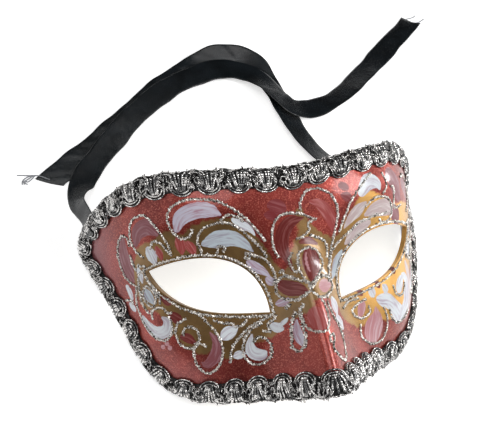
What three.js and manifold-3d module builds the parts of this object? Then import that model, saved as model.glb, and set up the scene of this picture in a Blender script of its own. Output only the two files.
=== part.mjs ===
// A papier-mache half mask, lying face up on a table with its two satin ties behind it.
// It rests on both temple corners and on the lower edge of both cheeks.
// Millimetres, +Z up from the table, +X across the face, and the forehead towards +Y.
//
// The face is drawn unrolled: "across" is the distance over the surface from the centre line,
// "up" is the height on the upright face, and "out" is the height above the front surface.
import * as THREE from 'three';
import { mergeVertices } from 'three/addons/utils/BufferGeometryUtils.js';
import Module from 'manifold-3d';

const wasm = await Module();
wasm.setup();

// Wall and clearances
const WALL = 2;
const GAP = 0.35;

// Bend across the face: gentle in front and tight where it turns back to the temples
const FRONT_RADIUS = 170;
const TEMPLE_RADIUS = 44;
const TEMPLE_BEND_AT = 53.5;
const TEMPLE_BEND_SPREAD = 21;

// Upright section: an arc about the brow line, with the forehead leaning a little forward
const UPRIGHT_RADIUS = 222;
const UPRIGHT_CENTRE = 9.5;
const FOREHEAD_LEAN = 0.02;

// Nose: a ridge that rises and widens downwards
const NOSE_RISE = 36;
const NOSE_TOP = 13.5;
const NOSE_FOOT = -50;
const NOSE_TOP_WIDTH = 3.7;
const NOSE_FOOT_WIDTH = 22;
const NOSE_FLANK_POWER = 1.6;
const NOSE_DROP_LIMIT = 1.3;
const RIDGE_ROUND = 2.2;

// Low forms of the face: how far each one stands out, where it lies and how far it spreads
const FACE_FORMS = [
  { out: -3, across: 34, up: 0, wide: 22, high: 15 },
  { out: 1.5, across: 40, up: 29, wide: 30, high: 9 },
  { out: 2, across: 56, up: -28, wide: 20, high: 12 },
];

// Right half of the outline: control points [across, up] from the forehead round to the nose
const OUTLINE = [
  [0, 39.6], [32, 43.6], [62, 44.8], [88, 35.4], [110.5, 20], [110, 13.5],
  [90, -5], [74, -40.5], [54, -48.5], [32, -49], [13, -46.2], [0, -43.8],
];

// The braid's inner edge, point for point beside the outline
const BRAID_INNER = [
  [0, 32.5], [32, 36.3], [60.5, 37.2], [84.5, 28.6], [101.5, 17], [101.2, 14.5],
  [83, -1.5], [67.5, -36.5], [52, -41], [32, -41], [13, -38.4], [0, -36.2],
];
const OUTLINE_STEPS = 8;

// Right eye hole: outer corner, inner corner and the handles of its two lids
const EYE_OUTER = [65, 7];
const EYE_INNER = [16, -14.5];
const UPPER_LID = [[33.5, 18], [15, 4.5]];
const LOWER_LID = [[34.5, -14], [57, -10.5]];
const LID_STEPS = 14;

// Braid: a flat cord with small loops along its inner edge, lapped over the rim
const BRAID_LOOPS = 46;
const STEPS_PER_LOOP = 5;
const BRAID_WIDTH = 7.8;
const BRAID_LOOP_DEPTH = 0.16;
const BRAID_CROWN = 2.6;
const BRAID_CROWN_SHARES = [0.6, 0.05];
const BRAID_SHOULDER = 1.4;
const BRAID_OVERHANG = 2.2;
const BRAID_LIP = 1.6;

// Resting pose: the tilt that lets the temples and the cheeks touch the table together
const REST_TILT = THREE.MathUtils.degToRad(30.1);
const REST_RISE = 46;
const REST_BACK = 0.65;

// Satin ties
const TIE_WIDTH = 12;
const TIE_THICKNESS = 0.5;
const TIE_STEPS = 74;
const TIE_LAYER = TIE_THICKNESS + GAP;
const TABLE_CLEARANCE = 0.16;

// Each tie is glued inside its temple. These are its first places on the unrolled face.
const TIE_ROOT = [[90, -1], [95, 7], [100, 15], [104, 22]];
const TIE_ROOT_BANK = 74;
const TIE_ROOT_CLEARANCE = 0.9;

// Then its route on the table: [x, y, rise above the table, bank in degrees].
// A bank of 0 lies flat, a positive one raises the inner side of the arc and a negative one the outer.
const LEFT_ROUTE = [
  [-76, 58.5, 1, 72], [-77.8, 64, 1.2, 66], [-77.2, 70.5, 1.1, 38],
  [-74.3, 77, 1.1, 12], [-69.8, 84, 1, 5], [-57, 98, TIE_LAYER, 0],
  [-45, 109.5, TIE_LAYER, 0], [-35, 117.5, TIE_LAYER, 0], [-22, 125.5, TIE_LAYER, 0],
  [-10, 130.5, 1, 0], [2, 133, 1.8, 0], [12, 132.5, 2.2, 0],
  [20, 129, 2.4, 4], [26, 123.5, 2.8, 12], [30, 117, 2.4, 22], [34, 110, 2.2, 24],
  [39, 105, 1.6, 15], [47, 103, TIE_LAYER, 6], [55, 104, 0.3, 12], [64, 107, 0, 22],
  [75, 113.5, 0, 26], [86, 121.5, 0, 20], [97, 130, 0, 12], [112, 141.5, 0, 12], [127, 153, 0, 25],
];
const RIGHT_ROUTE = [
  [73.5, 55, 1, 64], [70, 61.5, 0.8, 58], [63.5, 65, 0.5, 48], [56, 67, 0.3, 38],
  [48.5, 70.5, 0.1, 30], [43, 77.5, 0, 24], [39.5, 86, 0, 20], [37, 95, 0, 18], [35, 105, 0, 15],
  [33, 114.5, 0, 13], [31, 124, 0, 6], [27.5, 133, 0, -12], [18.5, 140.5, 0, -22], [7, 142, 0, -18],
  [-4, 138.5, 0, -6], [-13, 134.5, 0, 0], [-22, 129.5, 0, 0], [-34, 121, 0, 0],
  [-49, 109.5, 0, 0], [-64, 98.5, 0, 0], [-75, 91, 0, 0], [-88.3, 81.6, 0, 0],
];

// Fineness of the level section, of the normals and of the cells
const SECTION_STEP = 0.5;
const SECTION_REACH = 130;
const NORMAL_STEP = 0.25;
const NOSE_COLUMNS = [1.4, 3.2, 5.4, 8, 11, 14.5, 18.5, 23];
const CELL = 5.4;
const CELLS_ACROSS = 114;
const CELLS_UP = 54;
const BRAID_STEPS = 32;
const MERGE_DISTANCE = 1e-5;

// The unrolled wall is bowed slightly before it is cut, so that no two of its cells are level
const BOW = 0.001;

// Sizes of the helpers that cut: both reach well past what they cut
const CUTTER_DEPTH = 60;
const CUTTER_BELOW = 20;
const ROOM_SIZE = 400;

// Walks round the level section from the centre line and notes place and heading at each step
function walkSection() {
  const places = [{ x: 0, z: 0, heading: 0 }];
  for (let across = SECTION_STEP; across <= SECTION_REACH; across += SECTION_STEP) {
    const from = places.at(-1);
    const fade = Math.exp(-(((across - SECTION_STEP / 2 - TEMPLE_BEND_AT) / TEMPLE_BEND_SPREAD) ** 2));
    const bend = 1 / FRONT_RADIUS + (1 / TEMPLE_RADIUS - 1 / FRONT_RADIUS) * fade;
    const heading = from.heading + bend * SECTION_STEP;
    const middle = (from.heading + heading) / 2;
    const x = from.x + Math.cos(middle) * SECTION_STEP;
    const z = from.z - Math.sin(middle) * SECTION_STEP;
    places.push({ x, z, heading });
  }
  return places;
}

const section = walkSection();

function sectionAt(distance) {
  const place = distance / SECTION_STEP;
  const index = Math.min(Math.floor(place), section.length - 2);
  const from = section[index];
  const to = section[index + 1];
  const share = place - index;
  return {
    x: THREE.MathUtils.lerp(from.x, to.x, share),
    z: THREE.MathUtils.lerp(from.z, to.z, share),
    heading: THREE.MathUtils.lerp(from.heading, to.heading, share),
  };
}

function noseHeight(distance, up) {
  const drop = THREE.MathUtils.clamp((NOSE_TOP - up) / (NOSE_TOP - NOSE_FOOT), 0, NOSE_DROP_LIMIT);
  const width = THREE.MathUtils.lerp(NOSE_TOP_WIDTH, NOSE_FOOT_WIDTH, drop);
  const flank = Math.hypot(distance, RIDGE_ROUND) / width;
  return NOSE_RISE * drop * Math.exp(-(flank ** NOSE_FLANK_POWER));
}

function formHeight(distance, up) {
  let height = 0;
  for (const form of FACE_FORMS) {
    const sideways = (distance - form.across) / form.wide;
    const upwards = (up - form.up) / form.high;
    height += form.out * Math.exp(-(sideways ** 2) - upwards ** 2);
  }
  return height;
}

// A point of the front surface, on the upright face
function frontPoint(across, up) {
  const distance = Math.abs(across);
  const { x, z, heading } = sectionAt(distance);
  const arc = -((up - UPRIGHT_CENTRE) ** 2) / (2 * UPRIGHT_RADIUS);
  const swell = arc + FOREHEAD_LEAN * up + formHeight(distance, up);
  const side = Math.sign(across);
  const outwards = side * (x + Math.sin(heading) * swell);
  const forwards = z + Math.cos(heading) * swell + noseHeight(distance, up);
  return new THREE.Vector3(outwards, up, forwards);
}

function frontNormal(across, up) {
  const sideways = frontPoint(across + NORMAL_STEP, up).sub(frontPoint(across - NORMAL_STEP, up));
  const upwards = frontPoint(across, up + NORMAL_STEP).sub(frontPoint(across, up - NORMAL_STEP));
  return sideways.cross(upwards).normalize();
}

const restingPose = new THREE.Matrix4()
  .makeTranslation(0, REST_BACK, REST_RISE)
  .multiply(new THREE.Matrix4().makeRotationX(REST_TILT));

// A point above or below the front surface of the resting mask
function maskPoint(across, up, out) {
  const point = frontPoint(across, up).addScaledVector(frontNormal(across, up), out);
  return point.applyMatrix4(restingPose);
}

// Both halves of a control polygon, as one closed ring of points
function mirrorRing(half) {
  const other = half.slice(1, -1).reverse();
  const mirrored = other.map(([across, up]) => [-across, up]);
  return half.concat(mirrored);
}

// Rounds a closed control polygon: each point pulls a curve between the middles of its sides
function roundRing(ring, steps) {
  const points = [];
  for (let i = 0; i < ring.length; i++) {
    const [before, here, after] = [ring.at(i - 1), ring[i], ring[(i + 1) % ring.length]]
      .map(([across, up]) => new THREE.Vector2(across, up));
    const start = before.add(here).multiplyScalar(0.5);
    const end = after.add(here).multiplyScalar(0.5);
    const curve = new THREE.QuadraticBezierCurve(start, here, end);
    for (let step = 0; step < steps; step++) points.push(curve.getPoint(step / steps));
  }
  return points;
}

function lidCurve(from, handles, to) {
  const points = [from, ...handles, to].map(([across, up]) => new THREE.Vector2(across, up));
  return new THREE.CubicBezierCurve(...points);
}

function eyeRing() {
  const upper = lidCurve(EYE_OUTER, UPPER_LID, EYE_INNER).getPoints(LID_STEPS);
  const lower = lidCurve(EYE_INNER, LOWER_LID, EYE_OUTER).getPoints(LID_STEPS);
  return upper.slice(0, -1).concat(lower.slice(0, -1));
}

function toSolid(geometry) {
  geometry.deleteAttribute('normal');
  geometry.deleteAttribute('uv');
  const merged = mergeVertices(geometry, MERGE_DISTANCE);
  const vertProperties = new Float32Array(merged.attributes.position.array);
  const triVerts = new Uint32Array(merged.index.array);
  return new wasm.Manifold(new wasm.Mesh({ numProp: 3, vertProperties, triVerts }));
}

function toGeometry(solid) {
  const mesh = solid.getMesh();
  const geometry = new THREE.BufferGeometry();
  geometry.setAttribute('position', new THREE.BufferAttribute(new Float32Array(mesh.vertProperties), 3));
  geometry.setIndex(new THREE.BufferAttribute(new Uint32Array(mesh.triVerts), 1));
  return geometry;
}

function buildGeometry(points, index) {
  const geometry = new THREE.BufferGeometry().setFromPoints(points);
  geometry.setIndex(index);
  return geometry;
}

const bow = (across, up) => BOW * (across ** 2 + up ** 2);

// Grid lines stand close over the nose and wider apart towards the temples
function acrossLines() {
  const half = [...NOSE_COLUMNS];
  while (half.at(-1) < CELLS_ACROSS) half.push(half.at(-1) + CELL);
  return [...half.map((across) => -across).reverse(), 0, ...half];
}

function upLines() {
  const lines = [];
  for (let up = -CELLS_UP; up <= CELLS_UP; up += CELL) lines.push(up);
  return lines;
}

// A thin slab of cells: its front face lies on the bowed sheet and its back face one wall below
function gridSlab(columns, rows) {
  const points = [];
  for (const out of [0, -WALL]) {
    for (const across of columns) {
      for (const up of rows) points.push(new THREE.Vector3(across, up, out + bow(across, up)));
    }
  }
  const layer = columns.length * rows.length;
  const index = [];
  const quad = (a, b, c, d) => index.push(a, b, c, a, c, d);
  const at = (i, j) => i * rows.length + j;
  for (let i = 0; i + 1 < columns.length; i++) {
    for (let j = 0; j + 1 < rows.length; j++) {
      quad(at(i, j), at(i + 1, j), at(i + 1, j + 1), at(i, j + 1));
      quad(layer + at(i, j), layer + at(i, j + 1), layer + at(i + 1, j + 1), layer + at(i + 1, j));
    }
  }
  const rim = [];
  for (let i = 0; i + 1 < columns.length; i++) rim.push(at(i, 0));
  for (let j = 0; j + 1 < rows.length; j++) rim.push(at(columns.length - 1, j));
  for (let i = columns.length - 1; i > 0; i--) rim.push(at(i, rows.length - 1));
  for (let j = rows.length - 1; j > 0; j--) rim.push(at(0, j));
  rim.forEach((here, i) => {
    const next = rim[(i + 1) % rim.length];
    quad(here, layer + here, layer + next, next);
  });
  return toSolid(buildGeometry(points, index));
}

// A straight cutter of the given ring, tall enough to pass through the bowed slab
function ringCutter(ring) {
  const options = { depth: CUTTER_DEPTH, bevelEnabled: false };
  const cutter = new THREE.ExtrudeGeometry(new THREE.Shape(ring), options);
  cutter.translate(0, 0, -CUTTER_BELOW);
  return toSolid(cutter);
}

const mirror = (ring) => ring.map((point) => new THREE.Vector2(-point.x, point.y)).reverse();

// The flat wall is cut to its outline and eye holes, then every point goes to its place on the face
function shellGeometry() {
  const outline = roundRing(mirrorRing(OUTLINE), OUTLINE_STEPS).reverse();
  const eye = eyeRing();
  const flat = gridSlab(acrossLines(), upLines())
    .intersect(ringCutter(outline))
    .subtract(ringCutter(eye))
    .subtract(ringCutter(mirror(eye)));
  const geometry = toGeometry(flat);
  const position = geometry.attributes.position;
  for (let i = 0; i < position.count; i++) {
    const [across, up, bowed] = [position.getX(i), position.getY(i), position.getZ(i)];
    const point = maskPoint(across, up, bowed - bow(across, up));
    position.setXYZ(i, point.x, point.y, point.z);
  }
  return geometry;
}

// Joins rings of points into one closed surface, round a loop or with a cap at either end
function sweepGeometry(rings, isLoop) {
  const size = rings[0].length;
  const index = [];
  const last = isLoop ? rings.length : rings.length - 1;
  for (let i = 0; i < last; i++) {
    const here = i * size;
    const next = ((i + 1) % rings.length) * size;
    for (let j = 0; j < size; j++) {
      const k = (j + 1) % size;
      index.push(here + j, next + j, next + k, here + j, next + k, here + k);
    }
  }
  if (!isLoop) {
    const end = (rings.length - 1) * size;
    for (let j = 1; j + 1 < size; j++) {
      index.push(0, j, j + 1, end, end + j + 1, end + j);
    }
  }
  return buildGeometry(rings.flat(), index);
}

// The braid's own section at one station: across share 0 on the rim and 1 on its inner edge
function braidSection(loopShare) {
  const loop = 1 - BRAID_LOOP_DEPTH * Math.cos(Math.PI * loopShare) ** 2;
  const [crownIn, crownOut] = BRAID_CROWN_SHARES;
  const over = -BRAID_OVERHANG / BRAID_WIDTH;
  const clear = -GAP / BRAID_WIDTH;
  return [
    [loop, GAP], [loop, BRAID_SHOULDER], [crownIn, BRAID_CROWN], [crownOut, BRAID_CROWN],
    [over, BRAID_SHOULDER], [over, -BRAID_LIP], [clear, -BRAID_LIP], [clear, GAP],
  ];
}

function braidGeometry() {
  const outer = roundRing(mirrorRing(OUTLINE), BRAID_STEPS);
  const inner = roundRing(mirrorRing(BRAID_INNER), BRAID_STEPS);
  const stations = evenStations(outer, inner, BRAID_LOOPS * STEPS_PER_LOOP);
  const rings = stations.map(({ rim, edge }, i) => {
    const corners = braidSection(i / STEPS_PER_LOOP);
    return corners.map(([share, out]) => {
      const across = THREE.MathUtils.lerp(rim.x, edge.x, share);
      const up = THREE.MathUtils.lerp(rim.y, edge.y, share);
      return maskPoint(across, up, out);
    });
  });
  return toGeometry(toSolid(sweepGeometry(rings, true)).intersect(aboveTable()));
}

// Stations at even distances along the middle of the braid
function evenStations(outer, inner, count) {
  const middle = outer.map((rim, i) => maskPoint((rim.x + inner[i].x) / 2, (rim.y + inner[i].y) / 2, 0));
  const travelled = [0];
  for (let i = 1; i <= middle.length; i++) {
    const step = middle[i % middle.length].distanceTo(middle[i - 1]);
    travelled.push(travelled[i - 1] + step);
  }
  const stations = [];
  let i = 0;
  for (let station = 0; station < count; station++) {
    const target = (travelled.at(-1) * station) / count;
    while (travelled[i + 1] < target) i++;
    const share = (target - travelled[i]) / (travelled[i + 1] - travelled[i]);
    const next = (i + 1) % outer.length;
    const rim = outer[i].clone().lerp(outer[next], share);
    const edge = inner[i].clone().lerp(inner[next], share);
    stations.push({ rim, edge });
  }
  return stations;
}

// Everything above the table, which presses the braid flat where the mask rests on it
function aboveTable() {
  const room = new THREE.BoxGeometry(ROOM_SIZE, ROOM_SIZE, ROOM_SIZE);
  room.translate(0, 0, ROOM_SIZE / 2);
  return toSolid(room);
}

// The places on the back of the temple where the tie is glued
function tieRoot(side) {
  const under = -WALL - TIE_ROOT_CLEARANCE - TIE_THICKNESS / 2;
  return TIE_ROOT.map(([across, up]) => maskPoint(side * across, up, under));
}

// The middle line of a tie, from its glued root to its free end, with the bank at each of its points
function tiePath(side, route) {
  const half = TIE_WIDTH / 2;
  const rest = TIE_THICKNESS / 2 + TABLE_CLEARANCE;
  const root = tieRoot(side);
  const places = route.map(([x, y, rise, bank]) => {
    const lift = half * Math.sin(THREE.MathUtils.degToRad(Math.abs(bank)));
    return new THREE.Vector3(x, y, rest + rise + lift);
  });
  const path = new THREE.CatmullRomCurve3(root.concat(places), false, 'centripetal');
  const banks = root.map(() => TIE_ROOT_BANK).concat(route.map((stop) => stop[3]));
  return { path, banks };
}

function bankAt(banks, share) {
  const stop = share * (banks.length - 1);
  const before = Math.min(Math.floor(stop), banks.length - 2);
  const bank = THREE.MathUtils.lerp(banks[before], banks[before + 1], stop - before);
  return THREE.MathUtils.degToRad(bank);
}

function tieGeometry(side, route) {
  const { path, banks } = tiePath(side, route);
  const rings = [];
  for (let step = 0; step <= TIE_STEPS; step++) {
    const share = path.getUtoTmapping(step / TIE_STEPS);
    const bank = bankAt(banks, share);
    const centre = path.getPoint(share);
    const along = path.getTangent(share);
    const level = new THREE.Vector3(-along.y, along.x, 0).normalize().multiplyScalar(side);
    const wide = level.multiplyScalar(Math.cos(bank)).add(new THREE.Vector3(0, 0, Math.sin(bank)));
    wide.addScaledVector(along, -wide.dot(along)).normalize();
    const thick = new THREE.Vector3().crossVectors(along, wide);
    const place = ([w, t]) => centre.clone().addScaledVector(wide, w).addScaledVector(thick, t);
    rings.push(tieSection().map(place));
  }
  return sweepGeometry(rings, false);
}

// Flat section, with a point in the middle of each face so that the tie can twist
function tieSection() {
  const edge = TIE_WIDTH / 2;
  const skin = TIE_THICKNESS / 2;
  return [[edge, skin], [edge, -skin], [0, -skin], [-edge, -skin], [-edge, skin], [0, skin]];
}

const paint = new THREE.MeshStandardMaterial({ color: 0xa8453a, roughness: 0.4, metalness: 0.5 });
const silver = new THREE.MeshStandardMaterial({ color: 0xa9aaac, roughness: 0.35, metalness: 0.8 });
const satin = new THREE.MeshStandardMaterial({ color: 0x14171b, roughness: 0.4, metalness: 0 });

function namedMesh(name, geometry, material) {
  const mesh = new THREE.Mesh(geometry, material);
  mesh.name = name;
  return mesh;
}

const mask = new THREE.Group();
mask.add(
  namedMesh('shell', shellGeometry(), paint),
  namedMesh('braid', braidGeometry(), silver),
  namedMesh('ribbon_left', tieGeometry(-1, LEFT_ROUTE), satin),
  namedMesh('ribbon_right', tieGeometry(1, RIGHT_ROUTE), satin),
);

export default mask;
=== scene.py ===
# A papier-mache half mask, painted, lined with silver glitter and edged with a silver gimp braid.
# It lies face up with its two black satin ties behind it.
#
# Lengths are millimetres until a mesh is made. The face is drawn unrolled, as in the part's source:
# "across" runs over the surface from the centre line, "up" is the height on the upright face, and
# "out" is the height above the front surface.
import math

import bpy
import numpy as np
from mathutils import Matrix, Vector, geometry


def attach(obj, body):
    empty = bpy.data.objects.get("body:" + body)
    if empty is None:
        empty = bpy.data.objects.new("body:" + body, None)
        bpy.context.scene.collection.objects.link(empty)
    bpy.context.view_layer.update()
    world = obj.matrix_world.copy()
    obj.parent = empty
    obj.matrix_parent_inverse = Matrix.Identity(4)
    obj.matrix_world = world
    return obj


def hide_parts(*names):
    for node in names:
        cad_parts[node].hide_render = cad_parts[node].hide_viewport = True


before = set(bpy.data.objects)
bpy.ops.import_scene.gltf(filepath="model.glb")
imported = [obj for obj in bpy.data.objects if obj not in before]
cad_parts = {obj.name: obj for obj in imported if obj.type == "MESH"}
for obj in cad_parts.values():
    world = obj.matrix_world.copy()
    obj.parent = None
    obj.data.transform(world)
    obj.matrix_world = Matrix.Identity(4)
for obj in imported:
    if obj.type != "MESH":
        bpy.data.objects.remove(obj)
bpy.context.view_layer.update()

MM = 0.001

# Face: the same values as the part's source
WALL = 2
FRONT_RADIUS = 170
TEMPLE_RADIUS = 44
TEMPLE_BEND_AT = 53.5
TEMPLE_BEND_SPREAD = 21
UPRIGHT_RADIUS = 222
UPRIGHT_CENTRE = 9.5
FOREHEAD_LEAN = 0.02
NOSE_RISE = 36
NOSE_TOP = 13.5
NOSE_FOOT = -50
NOSE_TOP_WIDTH = 3.7
NOSE_FOOT_WIDTH = 22
NOSE_FLANK_POWER = 1.6
NOSE_DROP_LIMIT = 1.3
RIDGE_ROUND = 2.2
# out, across, up, wide, high
FACE_FORMS = [(-3, 34, 0, 22, 15), (1.5, 40, 29, 30, 9), (2, 56, -28, 20, 12)]
OUTLINE = [
    (0, 39.6), (32, 43.6), (62, 44.8), (88, 35.4), (110.5, 20), (110, 13.5),
    (90, -5), (74, -40.5), (54, -48.5), (32, -49), (13, -46.2), (0, -43.8),
]
BRAID_INNER = [
    (0, 32.5), (32, 36.3), (60.5, 37.2), (84.5, 28.6), (101.5, 17), (101.2, 14.5),
    (83, -1.5), (67.5, -36.5), (52, -41), (32, -41), (13, -38.4), (0, -36.2),
]
EYE_OUTER = (65, 7)
EYE_INNER = (16, -14.5)
UPPER_LID = ((33.5, 18), (15, 4.5))
LOWER_LID = ((34.5, -14), (57, -10.5))
REST_TILT = math.radians(30.1)
REST_RISE = 46
REST_BACK = 0.65
SECTION_STEP = 0.5
SECTION_REACH = 130
NORMAL_STEP = 0.25

# Ties: the same values as the part's source
TIE_WIDTH = 12
TIE_THICKNESS = 0.5
TIE_LAYER = 0.85
TABLE_CLEARANCE = 0.16
TIE_ROOT = [(90, -1), (95, 7), (100, 15), (104, 22)]
TIE_ROOT_BANK = 74
TIE_ROOT_CLEARANCE = 0.9
# x, y, rise above the table, bank in degrees
LEFT_ROUTE = [
    (-76, 58.5, 1, 72), (-77.8, 64, 1.2, 66), (-77.2, 70.5, 1.1, 38),
    (-74.3, 77, 1.1, 12), (-69.8, 84, 1, 5), (-57, 98, TIE_LAYER, 0),
    (-45, 109.5, TIE_LAYER, 0), (-35, 117.5, TIE_LAYER, 0), (-22, 125.5, TIE_LAYER, 0),
    (-10, 130.5, 1, 0), (2, 133, 1.8, 0), (12, 132.5, 2.2, 0),
    (20, 129, 2.4, 4), (26, 123.5, 2.8, 12), (30, 117, 2.4, 22), (34, 110, 2.2, 24),
    (39, 105, 1.6, 15), (47, 103, TIE_LAYER, 6), (55, 104, 0.3, 12), (64, 107, 0, 22),
    (75, 113.5, 0, 26), (86, 121.5, 0, 20), (97, 130, 0, 12), (112, 141.5, 0, 12), (127, 153, 0, 25),
]
RIGHT_ROUTE = [
    (73.5, 55, 1, 64), (70, 61.5, 0.8, 58), (63.5, 65, 0.5, 48), (56, 67, 0.3, 38),
    (48.5, 70.5, 0.1, 30), (43, 77.5, 0, 24), (39.5, 86, 0, 20), (37, 95, 0, 18), (35, 105, 0, 15),
    (33, 114.5, 0, 13), (31, 124, 0, 6), (27.5, 133, 0, -12), (18.5, 140.5, 0, -22), (7, 142, 0, -18),
    (-4, 138.5, 0, -6), (-13, 134.5, 0, 0), (-22, 129.5, 0, 0), (-34, 121, 0, 0),
    (-49, 109.5, 0, 0), (-64, 98.5, 0, 0), (-75, 91, 0, 0), (-88.3, 81.6, 0, 0),
]


def mirrored(line):
    # The same places on the other side of the face
    return [(-across, *rest) for across, *rest in line]


# Painted petals: paint, then the stroke's line as (across, up, width)
PETALS = [
    ("lilac", [(-48, 23.5, 2.5), (-45.5, 28, 6), (-40, 30, 6.5), (-34.5, 29.5, 5.5), (-30, 27, 0.5)]),
    ("pearl", [(-38, 16.5, 2.5), (-32.5, 17.5, 7), (-26.5, 17, 6), (-22, 14, 3.5), (-19, 10.5, 0.5)]),
    ("white", [(-25.5, 24.5, 1.5), (-22.5, 22, 3.5), (-19.5, 20, 2.5), (-17.5, 17, 0.5)]),
    ("rose", [(-68, 19, 2.5), (-66, 23.5, 6), (-61, 25.5, 6.5), (-56.5, 22, 1)]),
    ("white", [(-62, 16.5, 2.5), (-61, 14, 5), (-60, 11, 2)]),
    ("brick", [(-58, 17, 1.5), (-57, 14.5, 3), (-56.5, 12, 1)]),
    ("brick", [(-48, 19.5, 2.5), (-47.5, 17, 4.5), (-47.5, 13.5, 1)]),
    ("brick", [(-44.5, 17.5, 2), (-43.5, 15.5, 4), (-42.5, 13, 1.5)]),
    ("lilac", [(-21, 6.5, 2.5), (-18.5, 4, 4), (-16, 2, 3), (-13.5, -0.5, 0.5)]),
    ("white", [(-71.5, -11.5, 1), (-69, -16, 4.5), (-65, -18.5, 5.5), (-60, -17.5, 5),
               (-59, -14, 3.5), (-61, -12, 1)]),
    ("blush", [(-63.6, -24.8, 1), (-62.9, -24.5, 2), (-62.2, -24.2, 1)]),
    ("blush", [(-61.2, -23.3, 1), (-60.5, -23, 2), (-59.8, -22.7, 1)]),
    ("blush", [(-60.1, -25.1, 1), (-59.4, -24.8, 2), (-58.7, -24.5, 1)]),
    ("wine", [(-59, -4, 2.5), (-57.5, -5.5, 3.5), (-56, -6, 1.5)]),
    ("wine", [(-56.5, -11, 2.5), (-54.5, -12.5, 4.5), (-53, -13.5, 2)]),
    ("wine", [(-53, -20.5, 2), (-50.5, -21, 4), (-48, -23, 2)]),
    ("rose", [(-41, -19.5, 0.5), (-38.5, -24.5, 4), (-40, -29.5, 5), (-44, -33, 3.5), (-46.5, -32, 0.5)]),
    ("white", [(-35.5, -22.5, 2.5), (-33.5, -21, 5.5), (-31, -20, 3), (-29, -18.5, 0.5)]),
    ("white", [(-32, -31, 2), (-30.5, -30.5, 3.5), (-28.5, -30, 1.5)]),
    ("white", [(-24, -22.5, 0.5), (-25.5, -26.5, 3), (-25, -30, 5), (-22.5, -31, 4.5), (-20.5, -30, 1.5)]),
    ("white", [(-16, -19.5, 1.5), (-15, -20.5, 4), (-13.5, -21, 2)]),
    ("white", [(-13.5, -20, 0.5), (-12, -18.5, 1.5), (-10.5, -17, 0.5)]),
    ("lilac", [(-8, -17.5, 0.5), (-8.5, -21.5, 2.5), (-8.5, -25, 3), (-8, -27, 1.5)]),
    ("brick", [(-1, -14.5, 2), (-1, -16, 6), (-0.7, -17.7, 7.5), (-0.8, -20, 4.5)]),
    ("white", [(10, -13, 2), (10.5, -16, 4), (11, -19, 1)]),
    ("white", [(10, -19.5, 1), (11, -22.5, 4), (12.5, -25.5, 1)]),
    ("mauve", [(-9.5, 28, 3.5), (-7, 27, 6), (-5, 26, 3.5)]),
    ("mauve", [(-12, 24.5, 2), (-10, 24, 4), (-8.5, 23, 2)]),
    ("mauve", [(21.5, 31.5, 2), (23, 31, 3.5), (24.5, 30, 2)]),
    ("mauve", [(22, 27.5, 2), (24, 26.5, 4), (25.5, 25.5, 2)]),
    ("wine", [(3.5, 21, 0.5), (-2.5, 20, 5), (-6, 16, 6), (-7, 10.5, 5), (-5.5, 4, 2), (-5, 0.5, 0.5)]),
    ("brick", [(7, 27, 1), (11, 25.5, 4), (14.5, 21, 5.5), (16.5, 16, 4), (16, 12.5, 0.5)]),
    ("wine", [(0.5, 11.5, 1.5), (4.5, 11.5, 3), (8, 9.5, 1)]),
    ("wine", [(3.5, 7, 5), (3.5, 3, 9), (2.5, -1, 6), (0.5, -3.5, 0.5)]),
    # A thin pale stroke down the left of the nose-top petal: painted highlight, not paint of the mask
    ("blush", [(1.7, 7, 0.4), (0.9, 4.5, 1.1), (0.8, 1.5, 0.9), (1.1, -0.5, 0.3)]),
    ("wine", [(-10.5, -3.5, 2.5), (-8, -5.5, 6), (-5, -6, 5), (-2, -7, 1)]),
    ("blush", [(4, -6.5, 1), (7, -7, 5), (10, -7.5, 3)]),
    ("lilac", [(-14.5, -1.5, 2), (-13.5, -2.5, 3.5), (-12.5, -3, 1.5)]),
    ("lilac", [(-12.5, -11.5, 2), (-11, -11, 3), (-9, -10, 1.5)]),
    ("pearl", [(20, 4.5, 1), (17.5, 1, 4), (15, -3, 3), (13, -6, 0.5)]),
    ("shell", [(34.5, 14, 3), (30, 12.5, 6), (25.5, 9.5, 5), (22, 7, 1)]),
    ("white", [(31.5, 27.5, 4.5), (35.5, 31, 7), (40, 30, 4.5), (41.5, 27, 1)]),
    ("shell", [(33, 22.5, 1.5), (29, 20, 5), (25, 17, 3.5), (21.5, 13.5, 0.5)]),
    ("shell", [(33, 17.5, 1.5), (38, 19, 6), (43.5, 19, 7.5), (47, 17.5, 5)]),
    ("rose", [(50, 32, 7), (53, 27.5, 8.5), (56, 21.5, 4)]),
    ("rose", [(51, 17.5, 4), (52.5, 14.5, 7), (54, 11, 3)]),
    ("shell", [(60, -8, 2), (62.5, -14, 4.5), (62, -21, 6), (59, -27, 6), (56, -31.5, 3)]),
    ("white", [(36.5, -19.5, 2.5), (39, -20.5, 5.5), (42, -21.5, 6.5), (45, -24, 6), (47.5, -27, 7),
               (49.5, -29.5, 8), (51, -31.5, 2.5)]),
    ("white", [(54.5, -12, 0.5), (57, -13.5, 3), (58.5, -16.5, 4.5), (57.5, -20.5, 5.5), (56, -25, 6),
               (53.5, -28.5, 6), (51, -31, 3)]),
    ("white", [(54.5, -13.5, 2), (52.5, -15.5, 5), (51, -17.5, 5), (50, -19, 2)]),
    ("white", [(33, -15, 1.5), (33.5, -16, 4), (34, -17.5, 2)]),
    ("white", [(40.5, -14.5, 1.5), (41.5, -16, 3.5), (42, -17.5, 1)]),
    ("wine", [(26, -13.5, 1.5), (27, -15, 2.5), (28, -16, 1)]),
    ("wine", [(36.5, -12.5, 1.5), (37.5, -13.5, 3), (38, -14.5, 1.5)]),
    ("wine", [(48.2, -8.5, 1.5), (48.7, -9.5, 3), (49.2, -10.5, 1.5)]),
    ("blush", [(34.5, -22.5, 0.5), (34.5, -26, 4), (34, -28.5, 7.5), (32.5, -32, 11.5), (32, -35, 6)]),
    ("blush", [(28, -18.5, 1.5), (26.5, -21.5, 4.5), (25, -24.5, 2)]),
]

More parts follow.
